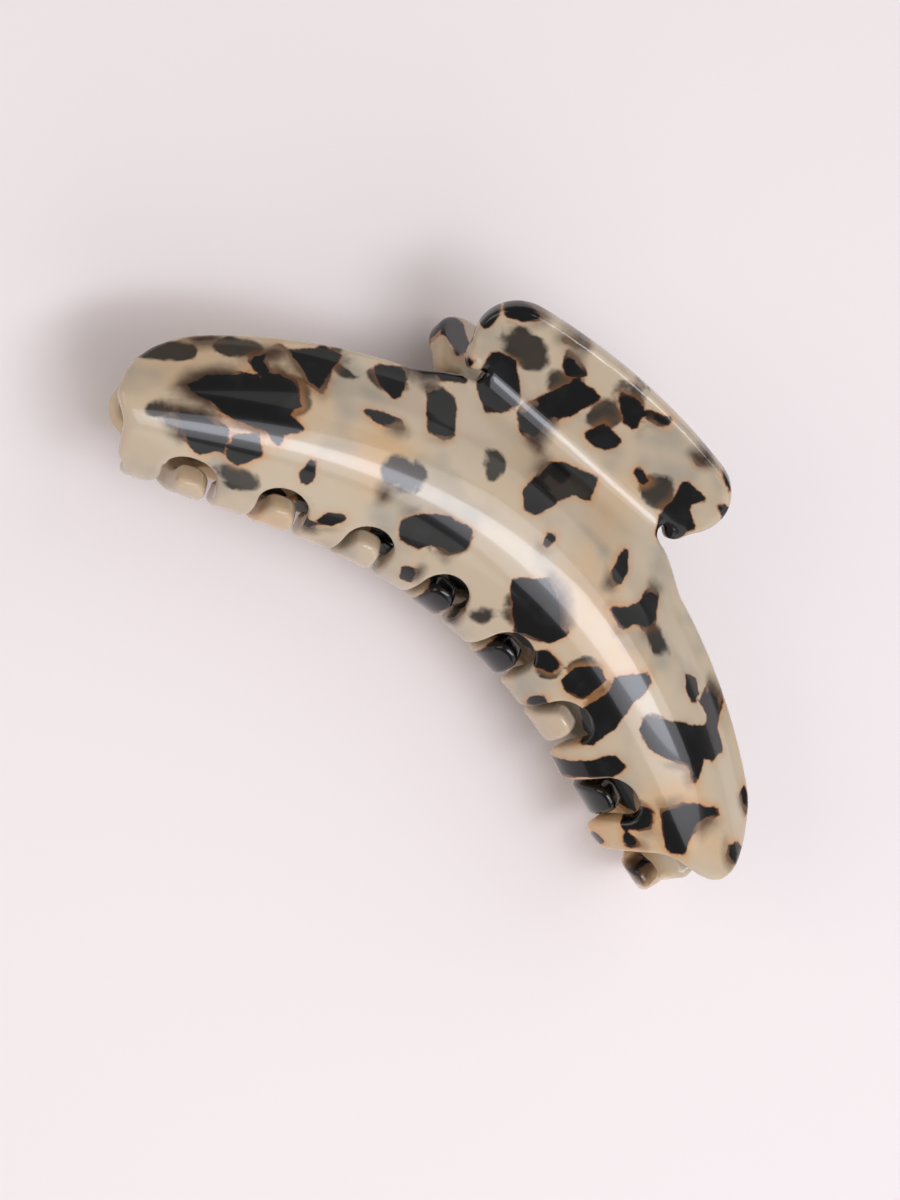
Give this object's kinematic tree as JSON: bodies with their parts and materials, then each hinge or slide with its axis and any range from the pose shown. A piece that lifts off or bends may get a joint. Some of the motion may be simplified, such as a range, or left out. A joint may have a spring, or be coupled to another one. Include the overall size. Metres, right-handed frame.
{
  "type": "hair claw clip",
  "caption": "Large arched claw clip in two bent acetate sheets with interlocking curled teeth, thumb tabs and a sprung hinge between them.",
  "frame": {"origin": "centre of the bottom of the clip's box, with the clip lying on its rear jaw", "axes": "+X along the clip, +Y towards the thumb tabs, +Z out of the front jaw"},
  "size_m": [0.1124, 0.0528, 0.0297],
  "materials": {
    "acetate_front": "polished",
    "acetate_rear": "polished",
    "leaf_steel": "satin",
    "screw_steel": "satin",
    "pin_steel": "polished",
    "spring_steel": "satin"
  },
  "bodies": {
    "rear_half": {"rear_jaw": "acetate_rear", "rear_hinge_leaf": "leaf_steel", "rear_screw_left": "screw_steel", "rear_screw_right": "screw_steel", "hinge_pin": "pin_steel", "torsion_spring": "spring_steel"},
    "front_half": {"front_jaw": "acetate_front", "front_hinge_leaf": "leaf_steel", "front_screw_left": "screw_steel", "front_screw_right": "screw_steel"}
  },
  "joints": [
    {"name": "jaw_hinge", "type": "hinge", "parent": "rear_half", "child": "front_half", "pos_m": [0, 0.01002, 0.01484], "axis": [-1, 0, 0], "range_deg": [0, 55], "stiffness_Nm_per_rad": 0.15, "springref_deg": -34.38, "deforming": ["torsion_spring"]}
  ]
}
